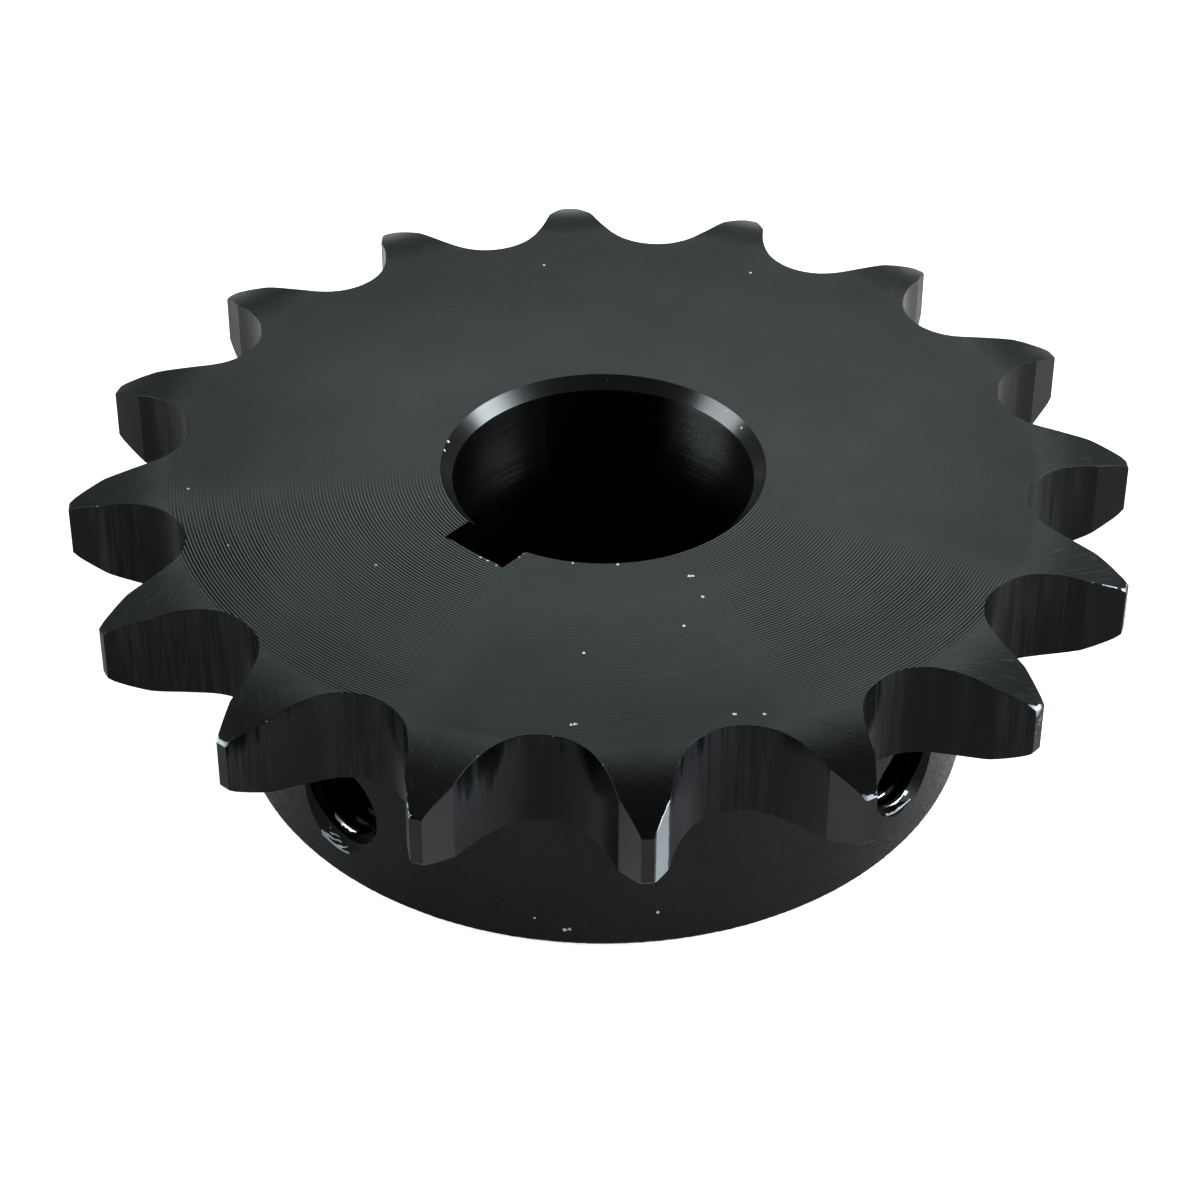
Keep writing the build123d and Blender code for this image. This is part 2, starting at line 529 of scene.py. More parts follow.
@dataclass
class SprocketBody:
    """The one-piece sprocket: rings of points round the bore's axis, joined into a closed skin."""

    teeth: ToothForm = field(default_factory=ToothForm)
    plate: Plate = field(default_factory=Plate)
    hub: Hub = field(default_factory=Hub)
    bore: Bore = field(default_factory=Bore)
    holes: tuple[TappedHole, ...] = (
        TappedHole(
            math.radians(-1.8),
            -0.16 * MM,
            rubbed=(
                Band(-32, 14, -0.2, 0.05),
                Band(-30, 12, 0.09, 0.14),
                Band(-24, 10, 0.2, 0.24),
                Band(-28, -4, 0.3, 0.35, 2.0),
                Band(-34, 16, 0.9, 1.3),
                Band(-30, 14, 0.7, 0.9, 1.25),
                Band(10, 40, 0.7, 1.3, 1.15),
            ),
            countersink_drop=0.97 * MM,
            countersink_right=-0.71 * MM,
            countersink_slope=0.4,
            countersink_radius=4.53 * MM,
        ),
        TappedHole(
            math.radians(93),
            -0.45 * MM,
            rubbed=(
                Band(-36, 22, 0.2, 0.27),
                Band(-36, 26, 0.6, 1.05, 1.9),
                Band(-66, 6, 1.9, 2.5),
                Band(20, 40, -0.1, 0.1, 1.2),
            ),
            countersink_drop=0.15 * MM,
            countersink_right=0.36 * MM,
            countersink_slope=0.9,
            countersink_radius=4.15 * MM,
        ),
    )
    support: float = 0.2 * MM
    face_radii: tuple[float, float, float] = (29.0 * MM, 24.0 * MM, 18.8 * MM)
    chamfer_wear: float = 0.75
    seam_angle: float = math.radians(10)
    crease_angle: float = math.radians(32)

    @property
    def length(self) -> float:
        """Overall length through the bore."""
        return self.hub.length + self.plate.thickness

    def circle(self, radius: float) -> list[Vector]:
        """Evenly spaced ring of points."""
        count = self.teeth.columns
        return [polar(radius, 2 * math.pi * c / count) for c in range(count)]

    def level(self, height: float) -> list[float]:
        """The same height all round."""
        return [height] * self.teeth.columns

    def top(self, points: list[Vector]) -> list[float]:
        """Height of the plate's upper side at each point."""
        return [self.length - self.plate.relief(p.length, self.teeth.rim_radius) for p in points]

    def underside(self, points: list[Vector]) -> list[float]:
        """Height of the plate's lower side at each point."""
        return [self.hub.length + self.plate.relief(p.length, self.teeth.rim_radius) for p in points]

    def plate_side(self, upper: bool) -> list[Ring]:
        """Rings from the teeth's outline inwards over one side of the plate.

        Args:
            upper: Whether this is the side away from the hub.

        Returns:
            The rings, from the outline to where the plate's side is a plain disc.
        """
        outline = self.teeth.outline()
        heights = self.top if upper else self.underside
        breaks = [self.plate.edge_break(p, self.teeth.rim_radius) for p in outline]
        inner = offset_ring(outline, breaks, True)
        held = offset_ring(outline, [b + self.support for b in breaks], True)
        drop = -1 if upper else 1
        wall_edge = [z + drop * b for z, b in zip(heights(outline), breaks)]
        rings = [
            Ring(outline, wall_edge, all_round(Surface.EDGE), 1.0),
            Ring(inner, heights(inner), all_round(Surface.FACE), 1.0),
            Ring(held, heights(held), all_round(Surface.FACE)),
        ]
        settled = self.circle(self.plate.settle_radius)
        for share in self.plate.settle_shares:
            points = blend_rings(held, settled, share)
            rings.append(Ring(points, heights(points), all_round(Surface.FACE)))
        return rings

    def bore_rings(self) -> list[Ring]:
        """Rings from the plate's face down through the bore and out over the hub's end.

        Returns:
            The rings, in order.
        """
        count, half = self.teeth.columns, self.teeth.half_columns
        placed = [self.bore.place(c, count, half) for c in range(count)]
        wall = [p[0] for p in placed]
        rim = [p[1] for p in placed]
        in_keyway = [p[2] for p in placed]
        held = offset_ring(rim, [self.support] * count, False)

        def cut(column: int) -> Surface:
            """Bore or keyway, with the short wall beside the bore's chamfer in the keyway."""
            return Surface.KEYWAY if in_keyway[column] or in_keyway[(column + 1) % count] else Surface.BORE

        outermost, middle, innermost = (self.circle(radius) for radius in self.face_radii)
        blended = blend_rings(innermost, held, 0.55)
        low, high = self.bore.chamfer, self.length - self.bore.chamfer
        face, chamfer = all_round(Surface.FACE), all_round(Surface.BORE_CHAMFER)
        top_edge = [self.length if k else high for k in in_keyway]
        low_edge = [0.0 if k else low for k in in_keyway]
        top, base = self.level(self.length), self.level(0.0)
        rings = [Ring(points, top, face) for points in (outermost, middle, innermost, blended, held)]
        rings.append(Ring(rim, top, chamfer, self.chamfer_wear))
        rings.append(Ring(wall, top_edge, cut, self.chamfer_wear))
        between = [share * self.length for share in self.bore.ring_shares]
        heights = [high - self.support, *between, low + self.support]
        rings += [Ring(wall, self.level(height), cut) for height in heights]
        rings.append(Ring(wall, low_edge, chamfer, self.chamfer_wear))
        rings.append(Ring(rim, base, face, self.chamfer_wear))
        return rings + [Ring(points, base, face) for points in (held, blended, innermost, middle)]

    def hub_rings(self) -> list[Ring]:
        """Rings over the hub's rim, up its side and round its root radius.

        Returns:
            The rings, in order.
        """
        hub, held = self.hub, self.support
        face, edge, side = (all_round(surface) for surface in (Surface.FACE, Surface.EDGE, Surface.HUB_SIDE))
        rings = [
            Ring(self.circle(hub.radius - hub.chamfer - held), self.level(0.0), face),
            Ring(self.torn_circle(hub.radius - hub.chamfer), self.level(0.0), edge, 1.0),
            Ring(self.circle(hub.radius), self.torn_level(hub.chamfer), side, 1.0),
            Ring(self.circle(hub.radius), self.level(hub.chamfer + held), side),
        ]
        rings += [Ring(self.circle(hub.radius), self.level(height), side) for height in hub.ring_heights]
        centre = (hub.radius + hub.root_radius, hub.length - hub.root_radius)
        for i in range(hub.root_steps + 1):
            turn = math.pi - math.pi / 2 * i / hub.root_steps
            radius = centre[0] + hub.root_radius * math.cos(turn)
            height = centre[1] + hub.root_radius * math.sin(turn)
            rings.append(Ring(self.circle(radius), self.level(height), face if i == hub.root_steps else side))
        return rings

    def torn_circle(self, radius: float) -> list[Vector]:
        """Circle whose points move inwards unevenly, as a torn turned edge does.

        Args:
            radius: Radius of the circle.

        Returns:
            The moved points.
        """
        circle, grain, share = self.circle(radius), self.hub.inner_grain, self.hub.tear / radius
        return [p * (1 - share * abs(noise.noise(Vector((p.x, p.y, 1.7)) / grain))) for p in circle]

    def torn_level(self, height: float) -> list[float]:
        """Height that wanders all round the hub."""
        circle, grain, tear = self.circle(self.hub.radius), self.hub.outer_grain, self.hub.tear
        return [height + tear * noise.noise(Vector((p.x, p.y, 5.1)) / grain) for p in circle]

    def tooth_walls(self, lower: Ring, upper: Ring) -> list[Ring]:
        """Rings up the walls of the teeth, between the two broken edges.

        Args:
            lower: Ring on the outline at the plate's lower side.
            upper: Ring on the outline at the plate's upper side.

        Returns:
            The rings, from the lower edge to just under the upper edge.
        """
        rings = [Ring(lower.points, lower.heights, self.teeth.surface, 1.0)]
        for share, lift in ((0.0, self.support), (0.35, 0.0), (0.65, 0.0), (1.0, -self.support)):
            heights = [a + (b - a) * share + lift for a, b in zip(lower.heights, upper.heights)]
            rings.append(Ring(lower.points, heights, self.teeth.surface))
        return rings

    def rings(self) -> list[Ring]:
        """Rings once round the section of the sprocket.

        Returns:
            All the rings, in order.
        """
        top = self.plate_side(upper=True)
        below = list(reversed(self.plate_side(upper=False)))
        rings = top + self.bore_rings() + self.hub_rings()
        for ring in below:
            ring.surface = all_round(Surface.FACE)
        below[-2].surface = all_round(Surface.EDGE)
        return rings + below[:-1] + self.tooth_walls(below[-1], top[0])

    def skin(self) -> bmesh.types.BMesh:
        """Grid of faces laid over the rings and closed both ways.

        Returns:
            A closed mesh without its tapped holes, with the wear of its edges in a layer.
        """
        rings, columns = self.rings(), self.teeth.columns
        bm = bmesh.new()
        wear = bm.verts.layers.float.new("wear")
        bmesh.ops.create_grid(bm, x_segments=len(rings), y_segments=columns, size=1.0)

        def cell(place: Vector) -> tuple[int, int]:
            """Ring and column of a place on the flat grid."""
            return math.floor((place.x + 1) / 2 * len(rings)), math.floor((place.y + 1) / 2 * columns)

        for face in bm.faces:
            row, column = cell(face.calc_center_median())
            face.material_index = rings[row].surface(column).value
            face.smooth = True
        nudge = Vector((1.0 / len(rings), 1.0 / columns, 0.0))
        for vertex in bm.verts:
            row, column = cell(vertex.co + nudge)
            ring, column = rings[row % len(rings)], column % columns
            point = ring.points[column]
            vertex.co = (point.x, point.y, ring.heights[column])
            vertex[wear] = ring.wear
        bmesh.ops.remove_doubles(bm, verts=bm.verts, dist=1e-7)
        bmesh.ops.dissolve_degenerate(bm, edges=bm.edges, dist=1e-7)
        bmesh.ops.recalc_face_normals(bm, faces=bm.faces)
        return bm

    def build(self) -> bpy.types.Object:
        """Skin with its tapped holes cut and its edges marked.

        Returns:
            The finished piece, without materials.
        """
        mesh = bpy.data.meshes.new("sprocket_steel")
        bm = self.skin()
        LOG.info("skin: %d faces", len(bm.faces))
        bm.to_mesh(mesh)
        bm.free()
        piece = bpy.data.objects.new("sprocket_steel", mesh)
        bpy.context.scene.collection.objects.link(piece)
        cutters = []
        for hole in self.holes:
            for bm, surface in ((hole.tap(), Surface.THREAD), (hole.countersink(), Surface.COUNTERSINK)):
                cutters.append(self.cutter(bm, surface, hole.place()))
        for cutter in cutters:
            cut = piece.modifiers.new(cutter.name, "BOOLEAN")
            cut.operation, cut.solver, cut.object = "DIFFERENCE", "EXACT", cutter
        bpy.context.view_layer.update()
        finished = bpy.data.meshes.new_from_object(piece.evaluated_get(bpy.context.evaluated_depsgraph_get()))
        piece.modifiers.clear()
        piece.data = finished
        bpy.data.meshes.remove(mesh)
        for cutter in cutters:
            bpy.data.meshes.remove(cutter.data)
        self.mark_edges(finished)
        LOG.info("sprocket_steel: %d faces, %d corners", len(finished.polygons), len(finished.loops))
        return piece

    def cutter(self, bm: bmesh.types.BMesh, surface: Surface, place: Matrix) -> bpy.types.Object:
        """Object that cuts a hole and leaves its own surface behind.

        Args:
            bm: The cutter's closed mesh along +Z, freed here.
            surface: Surface that it leaves.
            place: Where it goes.

        Returns:
            The cutter.
        """
        bmesh.ops.transform(bm, matrix=place, verts=bm.verts)
        bmesh.ops.recalc_face_normals(bm, faces=bm.faces)
        for face in bm.faces:
            face.material_index = surface.value
            face.smooth = True
        mesh = bpy.data.meshes.new("cutter")
        bm.to_mesh(mesh)
        bm.free()
        tool = bpy.data.objects.new("cutter", mesh)
        bpy.context.scene.collection.objects.link(tool)
        return tool

    def mark_edges(self, mesh: bpy.types.Mesh) -> None:
        """Marks the edges between cuts as sharp, and wears the tapped holes and the rubbed places.

        Args:
            mesh: The piece's mesh, changed here.
        """
        bm = bmesh.new()
        bm.from_mesh(mesh)
        wear = bm.verts.layers.float["wear"]
        holes = {Surface.COUNTERSINK.value, Surface.THREAD.value}
        for edge in bm.edges:
            if len(edge.link_faces) != 2:
                continue
            cuts = {f.material_index for f in edge.link_faces}
            sharpest = self.seam_angle if len(cuts) > 1 else self.crease_angle
            edge.smooth = edge.calc_face_angle(0.0) < sharpest
        for vertex in bm.verts:
            if any(f.material_index in holes for f in vertex.link_faces):
                vertex[wear] = max(hole.bare(vertex.co) for hole in self.holes)
            vertex[wear] = max([vertex[wear]] + [rub.bare(vertex) for rub in RUBS])
        bm.to_mesh(mesh)
        bm.free()


Socket = bpy.types.NodeSocket
Outputs = bpy.types.bpy_prop_collection
Value = Socket | float | tuple[float, ...]
Inputs = dict[str | int, Value]
Colour = tuple[float, float, float, float]


@dataclass(frozen=True)
class Side:
    """Side of the sprocket on which an effect is stronger or weaker.

    Its middle is in degrees from +X. Its two limits are cosines of the angle from there, where the effect
    starts to change and where it has changed. Then come the effect's strength elsewhere and on the side.
    """

    middle: float
    outer: float
    inner: float
    elsewhere: float = 0.0
    here: float = 1.0


# Painted highlight: where the turning marks of the face shine, beside the keyway and beside a tapped hole
MARKS_BY_KEYWAY = Side(-12, 0.8, 0.98)
MARKS_BY_HOLE = Side(86, 0.9, 0.99, 0.0, 0.75)
# Where the walls of the front teeth are made paler with painted light, and where they are more stained
PAINTED_LIGHT_TEETH = Side(40, 0.74, 0.96)
STAINED_TEETH = Side(34, 0.78, 0.96, 0.0, 0.3)
# Painted shade: where the face and the relief of the teeth are darker, and where the relief's pale scratches,
# partly painted glints, are fainter
PAINTED_SHADE_FACE = Side(130.6, -0.5, 0.7, 0.36, 0.15)
DARK_RELIEF = Side(36.6, -0.4, 0.3, 0.15, 0.7)
DARKER_RELIEF = Side(60, 0.9, 0.95, 0.0, 0.5)
PAINTED_SHADE_RELIEF = Side(60, 0.9, 0.95, 0.0, 0.13)
FAINT_SCRATCHES = Side(36.6, 0.5, 0.9, 0.4, 0.2)
# Painted shade: where the bore is laid black on two sides
BORE_LEFT = Side(310, 0.2, 0.5, 0.0, 0.7)
BORE_BACK = Side(220, 0.86, 0.94, 0.0, 0.9)

SMEAR_RADIUS = 40 * MM
RELIEF_RADIUS = 41 * MM
RAGGEDNESS = 0.25 * MM
BARE_STEEL: Colour = (0.42, 0.46, 0.49, 1.0)
DUST_GREY: Colour = (0.75, 0.76, 0.76, 1.0)
PIT_BLACK: Colour = (0.004, 0.004, 0.004, 1.0)
STAIN_AND_SHADE_BLACK: Colour = (0.0005, 0.0005, 0.0005, 1.0)


class Sheet:
    """Node tree that is filled node by node."""

    def __init__(self, tree: bpy.types.NodeTree) -> None:
        """Keeps the tree."""
        self.tree = tree

    def add(self, kind: str, inputs: Inputs | None = None, **settings: object) -> bpy.types.Node:
        """Adds a node.

        Args:
            kind: Its type, without the ShaderNode that it starts with.
            inputs: What goes into its sockets: a socket, which is linked, or a value.
            settings: Properties of the node.

        Returns:
            The node.
        """
        node = self.tree.nodes.new(kind if kind.startswith("NodeGroup") else "ShaderNode" + kind)
        for name, value in settings.items():
            setattr(node, name, value)
        for name, value in (inputs or {}).items():
            if isinstance(value, Socket):
                self.tree.links.new(value, node.inputs[name])
            else:
                node.inputs[name].default_value = value
        return node

    def math(self, operation: str, *values: Value, clamp: bool = False) -> Socket:
        """Result of a Math node on one, two or three values."""
        return self.add("Math", dict(enumerate(values)), operation=operation, use_clamp=clamp).outputs[0]

    def scaled(self, value: Value, factor: Value, added: Value = 0.0) -> Socket:
        """Value times a factor, and something added."""
        return self.math("MULTIPLY_ADD", value, factor, added)

    def centred(self, value: Value) -> Socket:
        """Value from 0 to 1 moved to lie about zero."""
        return self.math("SUBTRACT", value, 0.5)

    def vector(self, operation: str, *values: Value) -> bpy.types.Node:
        """Vector Math node on one or two vectors."""
        return self.add("VectorMath", dict(enumerate(values)), operation=operation)

    def stretched(self, position: Value, scale: tuple[float, float, float]) -> Socket:
        """Position multiplied by a scale along each axis."""
        return self.vector("MULTIPLY", position, scale).outputs[0]

    def drawn_out(self, position: Value, share: float) -> Socket:
        """Position with its height multiplied by a share, which draws a pattern out along the bore's axis."""
        return self.stretched(position, (1.0, 1.0, share))

    def radius(self, position: Value) -> Socket:
        """Distance of a position from the bore's axis."""
        return self.vector("LENGTH", self.drawn_out(position, 0.0)).outputs["Value"]

    def level(self, position: Value) -> Socket:
        """Height of a position above the hub's end face."""
        return self.add("SeparateXYZ", {0: position}).outputs[2]

    def angle(self, position: Value) -> Socket:
        """Angle of a position round the bore's axis, in radians from +X."""
        parts = self.add("SeparateXYZ", {0: position}).outputs
        return self.math("ARCTAN2", parts[1], parts[0])

    def ramp(self, value: Value, low: float, high: float, to_low: float = 0.0, to_high: float = 1.0) -> Socket:
        """Value mapped smoothly from one range to another and kept inside it."""
        inputs = {0: value, 1: low, 2: high, 3: to_low, 4: to_high}
        return self.add("MapRange", inputs, interpolation_type="SMOOTHSTEP").outputs[0]

    def on_side(self, angle: Value, side: Side) -> Socket:
        """Strength of an effect at an angle round the bore's axis."""
        apart = self.math("COSINE", self.math("SUBTRACT", angle, math.radians(side.middle)))
        return self.ramp(apart, side.outer, side.inner, side.elsewhere, side.here)

    def mix(self, share: Value, first: Value, second: Value) -> Socket:
        """Colour between two colours."""
        return self.add("Mix", {0: share, 6: first, 7: second}, data_type="RGBA", clamp_factor=True).outputs[2]

    def noise(self, position: Value, scale: float, detail: float = 2.0, roughness: float = 0.5) -> Socket:
        """Value of a noise texture, about 0 to 1."""
        inputs = {"Vector": position, "Scale": scale, "Detail": detail, "Roughness": roughness}
        return self.add("TexNoise", inputs, noise_dimensions="3D").outputs["Fac"]

    def group(self, group: bpy.types.NodeTree, inputs: Inputs) -> Outputs:
        """Outputs of a node group that has its own values here."""
        return self.add("Group", inputs, node_tree=group).outputs


class Effects:
    """Node groups for what tools, oxide, dust and wear do to the steel, and for painted light and shade, each
    made once.
    """

    def __init__(self) -> None:
        """Makes all the groups."""
        self.turning = self.turning_marks()
        self.streaks = self.drawn_streaks()
        self.scratches = self.relief_scratches()
        self.clouds = self.oxide_clouds()
        self.specks = self.scattered_specks()
        self.speck = self.placed_speck()
        self.wear = self.edge_wear()

    @staticmethod
    def start(name: str, inputs: str, outputs: str) -> tuple[Sheet, Outputs, Callable]:
        """Empty group with its sockets, of which only positions and centres are vectors.

        Args:
            name: Name of the group.
            inputs: Names of its inputs.
            outputs: Names of its outputs.

        Returns:
            The group's sheet, its inputs and a function that links a socket to an output.
        """
        tree = bpy.data.node_groups.new(name, "ShaderNodeTree")
        for in_out, labels in (("INPUT", inputs), ("OUTPUT", outputs)):
            for label in labels.split():
                kind = "NodeSocketVector" if label in ("Position", "Centre") else "NodeSocketFloat"
                tree.interface.new_socket(name=label, in_out=in_out, socket_type=kind)
        sheet = Sheet(tree)
        given = sheet.add("NodeGroupInput").outputs
        sink = sheet.add("NodeGroupOutput")

        def send(label: str, socket: Socket) -> None:
            """Links a socket to one of the group's outputs."""
            tree.links.new(socket, sink.inputs[label])

        return sheet, given, send

    def turning_marks(self) -> bpy.types.NodeTree:
        """Grooves of a turning tool: a cusp at each step of its feed, deeper in some places than in others.

        Returns:
            The group. Its third output says where the marks carry a painted highlight.
        """
        inputs = "Across Position Feed Depth Wander"
        sheet, given, send = self.start("turning_marks", inputs, "Height Ridge Burnish")
        drift = sheet.centred(sheet.noise(given["Position"], scale=90.0, detail=1.0))
        turns = sheet.math("DIVIDE", given["Across"], given["Feed"])
        turns = sheet.scaled(drift, given["Wander"], turns)
        from_middle = sheet.centred(sheet.math("FRACT", turns))
        cusp = sheet.math("MULTIPLY", sheet.math("MULTIPLY", from_middle, from_middle), 4.0)
        patches = sheet.ramp(sheet.noise(given["Position"], scale=55.0), 0.3, 0.7, 0.55, 1.0)
        turn = {"W": sheet.math("FLOOR", turns)}
        by_turn = sheet.add("TexWhiteNoise", turn, noise_dimensions="1D").outputs["Value"]
        patches = sheet.math("MULTIPLY", patches, sheet.ramp(by_turn, 0.0, 1.0, 0.8, 1.0))
        # Painted highlight: the marks shine only on the side by the keyway and on the side by a tapped hole
        angle = sheet.angle(given["Position"])
        by_keyway, by_hole = (sheet.on_side(angle, side) for side in (MARKS_BY_KEYWAY, MARKS_BY_HOLE))
        send("Ridge", sheet.math("MULTIPLY", cusp, cusp))
        send("Burnish", sheet.math("MULTIPLY", patches, sheet.math("MAXIMUM", by_keyway, by_hole)))
        send("Height", sheet.math("MULTIPLY", sheet.math("MULTIPLY", cusp, given["Depth"]), patches))
        return sheet.tree

    def drawn_streaks(self) -> bpy.types.NodeTree:
        """Fine lines that a hob or a broach leaves along the bore's axis.

        Returns:
            The group. Shade says where the lines are pale, with painted light on the walls of the front teeth,
            and Stain where dark smears cover them.
        """
        sheet, given, send = self.start("drawn_streaks", "Position Depth", "Height Shade Stain")
        position = given["Position"]
        fine = sheet.noise(sheet.drawn_out(position, 0.03), scale=5200.0)
        broad = sheet.noise(sheet.drawn_out(position, 0.08), scale=1500.0)
        bands = sheet.noise(sheet.drawn_out(position, 0.1), scale=260.0)
        lines = sheet.scaled(fine, 0.45, sheet.math("MULTIPLY", broad, 0.55))
        angle = sheet.angle(position)
        # Painted light: walls on one side of each front tooth made paler
        along_tooth = sheet.math("FRACT", sheet.math("DIVIDE", angle, 2 * ToothForm().half_step))
        pale = sheet.ramp(along_tooth, 0.25, 0.4, 0.95, 0.0)
        pale = sheet.math("MULTIPLY", pale, sheet.on_side(angle, PAINTED_LIGHT_TEETH))
        shade = sheet.math("MULTIPLY", sheet.ramp(lines, 0.36, 0.64), sheet.ramp(bands, 0.42, 0.6))
        send("Shade", sheet.math("ADD", shade, pale, clamp=True))
        smears = sheet.noise(sheet.drawn_out(position, 0.16), scale=520.0, detail=3.0, roughness=0.6)
        smears = sheet.scaled(sheet.ramp(sheet.level(position), 20.5 * MM, 24.8 * MM), 0.24, smears)
        side = STAINED_TEETH
        ahead = polar(1 / SMEAR_RADIUS, math.radians(side.middle)).to_3d()
        towards = sheet.vector("DOT_PRODUCT", position, ahead).outputs["Value"]
        smears = sheet.scaled(sheet.ramp(towards, side.outer, side.inner), side.here, smears)
        send("Stain", sheet.ramp(smears, 0.9, 1.06, 0.0, 0.9))
        send("Height", sheet.math("MULTIPLY", lines, given["Depth"]))
        return sheet.tree

    def relief_scratches(self) -> bpy.types.NodeTree:
        """Wavy scratches that cross the relief of the teeth slantwise between a radius and a circle.

        Returns:
            The group. Shade says where the scratches are pale.
        """
        sheet, given, send = self.start("relief_scratches", "Position Depth", "Height Shade")
        position = given["Position"]
        # Turned by half a tooth, so that the angle jumps from half a turn to minus half in the middle of a gap
        turn = {"Vector": position, "Angle": ToothForm().half_step}
        turned = sheet.add("VectorRotate", turn, rotation_type="Z_AXIS").outputs[0]
        along_rim = sheet.math("MULTIPLY", sheet.angle(turned), RELIEF_RADIUS)
        across = sheet.math("SUBTRACT", along_rim, sheet.radius(position))
        along = sheet.math("ADD", along_rim, sheet.radius(position))
        waves = sheet.scaled(sheet.noise(position, scale=420.0), 1.1 * MM, across)
        place = sheet.add("CombineXYZ", {0: waves, 1: sheet.math("MULTIPLY", along, 0.1), 2: 0.0}).outputs[0]
        lines = sheet.noise(place, scale=3000.0, detail=3.0, roughness=0.6)
        send("Shade", sheet.ramp(lines, 0.52, 0.7))
        send("Height", sheet.math("MULTIPLY", lines, given["Depth"]))
        return sheet.tree

    def oxide_clouds(self) -> bpy.types.NodeTree:
        """Uneven oxide: broad clouds with a fine grain in them.

        Returns:
            The group. Frost is a coarser grain for sand-like surfaces.
        """
        sheet, given, send = self.start("oxide_clouds", "Position Grain", "Cloud Grain Frost")
        position = given["Position"]
        broad = sheet.noise(position, scale=60.0, detail=3.0, roughness=0.55)
        fine = sheet.noise(position, scale=5000.0, roughness=0.6)
        frost = sheet.noise(position, scale=3200.0, roughness=0.6)
        send("Cloud", sheet.ramp(sheet.scaled(sheet.centred(fine), given["Grain"], broad), 0.3, 0.7))
        send("Grain", fine)
        send("Frost", sheet.ramp(frost, 0.3, 0.7))
        return sheet.tree

    def scattered_specks(self) -> bpy.types.NodeTree:
        """Small specks, one to a cell, in a share of the cells.

        Returns:
            The group.
        """
        sheet, given, send = self.start("scattered_specks", "Position Spacing Size Share", "Mask")
        warp = sheet.add("TexNoise", {"Vector": given["Position"], "Scale": 2500.0, "Detail": 1.0})
        centred = sheet.vector("SUBTRACT", warp.outputs["Color"], (0.5, 0.5, 0.5)).outputs[0]
        bent = sheet.stretched(centred, (RAGGEDNESS, RAGGEDNESS, RAGGEDNESS))
        moved = sheet.vector("ADD", given["Position"], bent).outputs[0]
        scale = sheet.math("DIVIDE", 1.0, given["Spacing"])
        cells = sheet.add("TexVoronoi", {"Vector": moved, "Scale": scale, "Randomness": 1.0}, feature="F1")
        random = sheet.add("SeparateColor", {0: cells.outputs["Color"]}).outputs
        chosen = sheet.math("LESS_THAN", random[0], given["Share"])
        reach = sheet.math("DIVIDE", given["Size"], given["Spacing"])
        reach = sheet.math("MULTIPLY", reach, sheet.scaled(random[1], 0.8, 0.2))
        near = sheet.math("LESS_THAN", cells.outputs["Distance"], reach)
        send("Mask", sheet.math("MULTIPLY", near, chosen))
        return sheet.tree

    def placed_speck(self) -> bpy.types.NodeTree:
        """One speck of dust with an uneven outline.

        Returns:
            The group.
        """
        sheet, given, send = self.start("placed_speck", "Position Centre Size", "Mask")
        apart = sheet.vector("DISTANCE", given["Position"], given["Centre"]).outputs["Value"]
        uneven = sheet.centred(sheet.noise(given["Position"], scale=7000.0, detail=1.0))
        send("Mask", sheet.math("LESS_THAN", sheet.scaled(uneven, RAGGEDNESS, apart), given["Size"]))
        return sheet.tree

    def edge_wear(self) -> bpy.types.NodeTree:
        """Bare metal along edges, broken up by a grain.

        Returns:
            The group.
        """
        sheet, given, send = self.start("edge_wear", "Position Nearness Amount", "Mask")
        grain = sheet.noise(given["Position"], scale=1400.0, detail=3.0, roughness=0.7)
        lift = sheet.scaled(sheet.centred(grain), 2.4, given["Nearness"])
        bare = sheet.math("SUBTRACT", sheet.math("ADD", lift, given["Amount"]), 1.0)
        send("Mask", sheet.ramp(bare, 0.0, 0.18))
        return sheet.tree


class Marks(Enum):
    """Tool marks of a finish."""

    FACED = "rings round the bore's axis, with scratches on the relief of the teeth"
    TURNED = "rings one above the other along the bore's axis"
    DRAWN = "streaks along the bore's axis"
    SMOOTH = "no marks but the oxide's grain"


@dataclass(frozen=True)
class MarkSockets:
    """What tool marks give a material: their height, pale marks and painted highlights, the relief and its
    painted shade, and stains and painted shade.
    """

    height: Value = 0.0
    shade: Socket | None = None
    relief: Socket | None = None
    stain: Socket | None = None


@dataclass(frozen=True)
class Speck:
    """Speck of dust: its angle in degrees from +X, then its place and half its width in millimetres."""

    angle: float
    radius: float
    height: float
    half_width: float

    def centre(self) -> tuple[float, float, float]:
        """Its place on the piece."""
        return (*polar(self.radius * MM, math.radians(self.angle)), self.height * MM)


